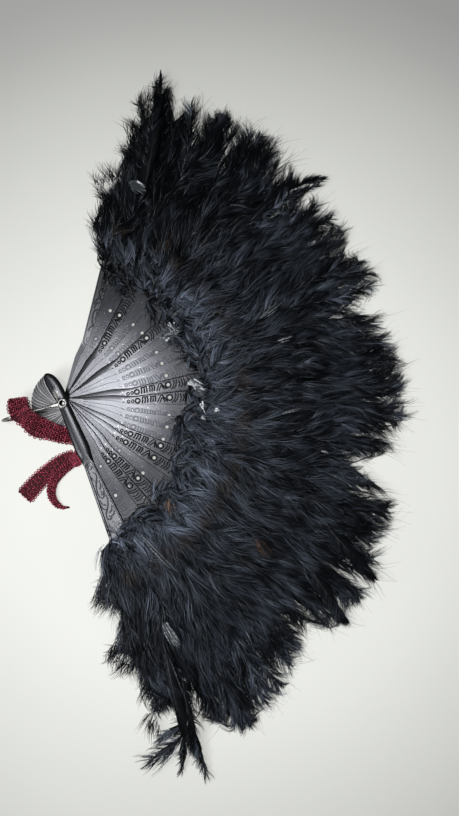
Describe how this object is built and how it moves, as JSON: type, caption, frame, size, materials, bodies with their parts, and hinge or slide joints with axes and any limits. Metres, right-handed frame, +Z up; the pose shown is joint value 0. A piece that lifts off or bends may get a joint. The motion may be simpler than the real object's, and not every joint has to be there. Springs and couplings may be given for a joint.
{
  "type": "folding feather fan",
  "caption": "Folding fan lying open: pearly grey pierced sticks and moulded guards on a rivet, black feather plumes, a wire bail and a dark red crocheted ribbon.",
  "frame": {"origin": "on the rivet's axis, at the flat rear face of the rivet, level with the table the fan lies on", "axes": "+Z up out of the table and along the rivet, +X from the rivet into the open plumes, +Y across the spread towards the rear guard's side"},
  "size_m": [0.3505, 0.6144, 0.0257],
  "materials": {
    "stick": "satin",
    "guard": "gloss",
    "steel": "satin",
    "plume": "matte",
    "ribbon": "satin"
  },
  "bodies": {
    "front": {"front_guard": "guard", "rivet": "steel", "plume_front": "plume", "ribbon_loop": "ribbon", "ribbon_knot": "ribbon", "ribbon_tail_wide": "ribbon", "ribbon_tail_twisted": "ribbon"},
    "blade_01": {"stick_01": "stick", "plume_01": "plume"},
    "blade_02": {"stick_02": "stick", "plume_02": "plume"},
    "blade_03": {"stick_03": "stick", "plume_03": "plume"},
    "blade_04": {"stick_04": "stick", "plume_04": "plume"},
    "blade_05": {"stick_05": "stick", "plume_05": "plume"},
    "blade_06": {"stick_06": "stick", "plume_06": "plume"},
    "blade_07": {"stick_07": "stick", "plume_07": "plume"},
    "blade_08": {"stick_08": "stick", "plume_08": "plume"},
    "blade_09": {"stick_09": "stick", "plume_09": "plume"},
    "blade_10": {"stick_10": "stick", "plume_10": "plume"},
    "blade_11": {"stick_11": "stick", "plume_11": "plume"},
    "blade_12": {"stick_12": "stick", "plume_12": "plume"},
    "blade_13": {"stick_13": "stick", "plume_13": "plume"},
    "blade_14": {"stick_14": "stick", "plume_14": "plume"},
    "blade_15": {"stick_15": "stick", "plume_15": "plume"},
    "blade_16": {"stick_16": "stick", "plume_16": "plume"},
    "blade_17": {"stick_17": "stick", "plume_17": "plume"},
    "blade_18": {"stick_18": "stick", "plume_18": "plume"},
    "blade_19": {"stick_19": "stick", "plume_19": "plume"},
    "rear": {"rear_guard": "guard", "plume_rear": "plume"},
    "bail": {"bail": "steel"}
  },
  "joints": [
    {"name": "stick_01_turn", "type": "hinge", "parent": "front", "child": "blade_01", "pos_m": [0, 0, 0], "axis": [0, 0, 1], "range_deg": [-8.32, 0.1], "deforming": ["plume_01"]},
    {"name": "stick_02_turn", "type": "hinge", "parent": "front", "child": "blade_02", "pos_m": [0, 0, 0], "axis": [0, 0, 1], "range_deg": [-14.17, 0.1], "deforming": ["plume_02"]},
    {"name": "stick_03_turn", "type": "hinge", "parent": "front", "child": "blade_03", "pos_m": [0, 0, 0], "axis": [0, 0, 1], "range_deg": [-20.16, 0.1], "deforming": ["plume_03"]},
    {"name": "stick_04_turn", "type": "hinge", "parent": "front", "child": "blade_04", "pos_m": [0, 0, 0], "axis": [0, 0, 1], "range_deg": [-27.12, 0.1], "deforming": ["plume_04"]},
    {"name": "stick_05_turn", "type": "hinge", "parent": "front", "child": "blade_05", "pos_m": [0, 0, 0], "axis": [0, 0, 1], "range_deg": [-34.09, 0.1], "deforming": ["plume_05"]},
    {"name": "stick_06_turn", "type": "hinge", "parent": "front", "child": "blade_06", "pos_m": [0, 0, 0], "axis": [0, 0, 1], "range_deg": [-41.47, 0.1], "deforming": ["plume_06"]},
    {"name": "stick_07_turn", "type": "hinge", "parent": "front", "child": "blade_07", "pos_m": [0, 0, 0], "axis": [0, 0, 1], "range_deg": [-48.44, 0.1], "deforming": ["plume_07"]},
    {"name": "stick_08_turn", "type": "hinge", "parent": "front", "child": "blade_08", "pos_m": [0, 0, 0], "axis": [0, 0, 1], "range_deg": [-55.4, 0.1], "deforming": ["plume_08"]},
    {"name": "stick_09_turn", "type": "hinge", "parent": "front", "child": "blade_09", "pos_m": [0, 0, 0], "axis": [0, 0, 1], "range_deg": [-61.81, 0.1], "deforming": ["plume_09"]},
    {"name": "stick_10_turn", "type": "hinge", "parent": "front", "child": "blade_10", "pos_m": [0, 0, 0], "axis": [0, 0, 1], "range_deg": [-68.5, 0.1], "deforming": ["plume_10"]},
    {"name": "stick_11_turn", "type": "hinge", "parent": "front", "child": "blade_11", "pos_m": [0, 0, 0], "axis": [0, 0, 1], "range_deg": [-75.6, 0.1], "deforming": ["plume_11"]},
    {"name": "stick_12_turn", "type": "hinge", "parent": "front", "child": "blade_12", "pos_m": [0, 0, 0], "axis": [0, 0, 1], "range_deg": [-83.96, 0.1], "deforming": ["plume_12"]},
    {"name": "stick_13_turn", "type": "hinge", "parent": "front", "child": "blade_13", "pos_m": [0, 0, 0], "axis": [0, 0, 1], "range_deg": [-91.2, 0.1], "deforming": ["plume_13"]},
    {"name": "stick_14_turn", "type": "hinge", "parent": "front", "child": "blade_14", "pos_m": [0, 0, 0], "axis": [0, 0, 1], "range_deg": [-98.03, 0.1], "deforming": ["plume_14"]},
    {"name": "stick_15_turn", "type": "hinge", "parent": "front", "child": "blade_15", "pos_m": [0, 0, 0], "axis": [0, 0, 1], "range_deg": [-104.71, 0.1], "deforming": ["plume_15"]},
    {"name": "stick_16_turn", "type": "hinge", "parent": "front", "child": "blade_16", "pos_m": [0, 0, 0], "axis": [0, 0, 1], "range_deg": [-111.82, 0.1], "deforming": ["plume_16"]},
    {"name": "stick_17_turn", "type": "hinge", "parent": "front", "child": "blade_17", "pos_m": [0, 0, 0], "axis": [0, 0, 1], "range_deg": [-118.64, 0.1], "deforming": ["plume_17"]},
    {"name": "stick_18_turn", "type": "hinge", "parent": "front", "child": "blade_18", "pos_m": [0, 0, 0], "axis": [0, 0, 1], "range_deg": [-124.91, 0.1], "deforming": ["plume_18"]},
    {"name": "stick_19_turn", "type": "hinge", "parent": "front", "child": "blade_19", "pos_m": [0, 0, 0], "axis": [0, 0, 1], "range_deg": [-134.11, 0.1], "deforming": ["plume_19"]},
    {"name": "fold", "type": "hinge", "parent": "front", "child": "rear", "pos_m": [0, 0, 0], "axis": [0, 0, 1], "range_deg": [-139.3, 0], "deforming": ["plume_rear", "plume_front"]},
    {"name": "bail_swing", "type": "hinge", "parent": "front", "child": "bail", "pos_m": [0, 0, 0], "axis": [0, 0, 1], "range_deg": [-25, 25], "deforming": ["ribbon_loop"]}
  ],
  "couplings": [
    {"joint": "stick_01_turn", "follows": "fold", "ratio": 0.059},
    {"joint": "stick_02_turn", "follows": "fold", "ratio": 0.101},
    {"joint": "stick_03_turn", "follows": "fold", "ratio": 0.144},
    {"joint": "stick_04_turn", "follows": "fold", "ratio": 0.194},
    {"joint": "stick_05_turn", "follows": "fold", "ratio": 0.244},
    {"joint": "stick_06_turn", "follows": "fold", "ratio": 0.297},
    {"joint": "stick_07_turn", "follows": "fold", "ratio": 0.347},
    {"joint": "stick_08_turn", "follows": "fold", "ratio": 0.397},
    {"joint": "stick_09_turn", "follows": "fold", "ratio": 0.443},
    {"joint": "stick_10_turn", "follows": "fold", "ratio": 0.491},
    {"joint": "stick_11_turn", "follows": "fold", "ratio": 0.542},
    {"joint": "stick_12_turn", "follows": "fold", "ratio": 0.602},
    {"joint": "stick_13_turn", "follows": "fold", "ratio": 0.654},
    {"joint": "stick_14_turn", "follows": "fold", "ratio": 0.703},
    {"joint": "stick_15_turn", "follows": "fold", "ratio": 0.751},
    {"joint": "stick_16_turn", "follows": "fold", "ratio": 0.802},
    {"joint": "stick_17_turn", "follows": "fold", "ratio": 0.851},
    {"joint": "stick_18_turn", "follows": "fold", "ratio": 0.896},
    {"joint": "stick_19_turn", "follows": "fold", "ratio": 0.962}
  ]
}
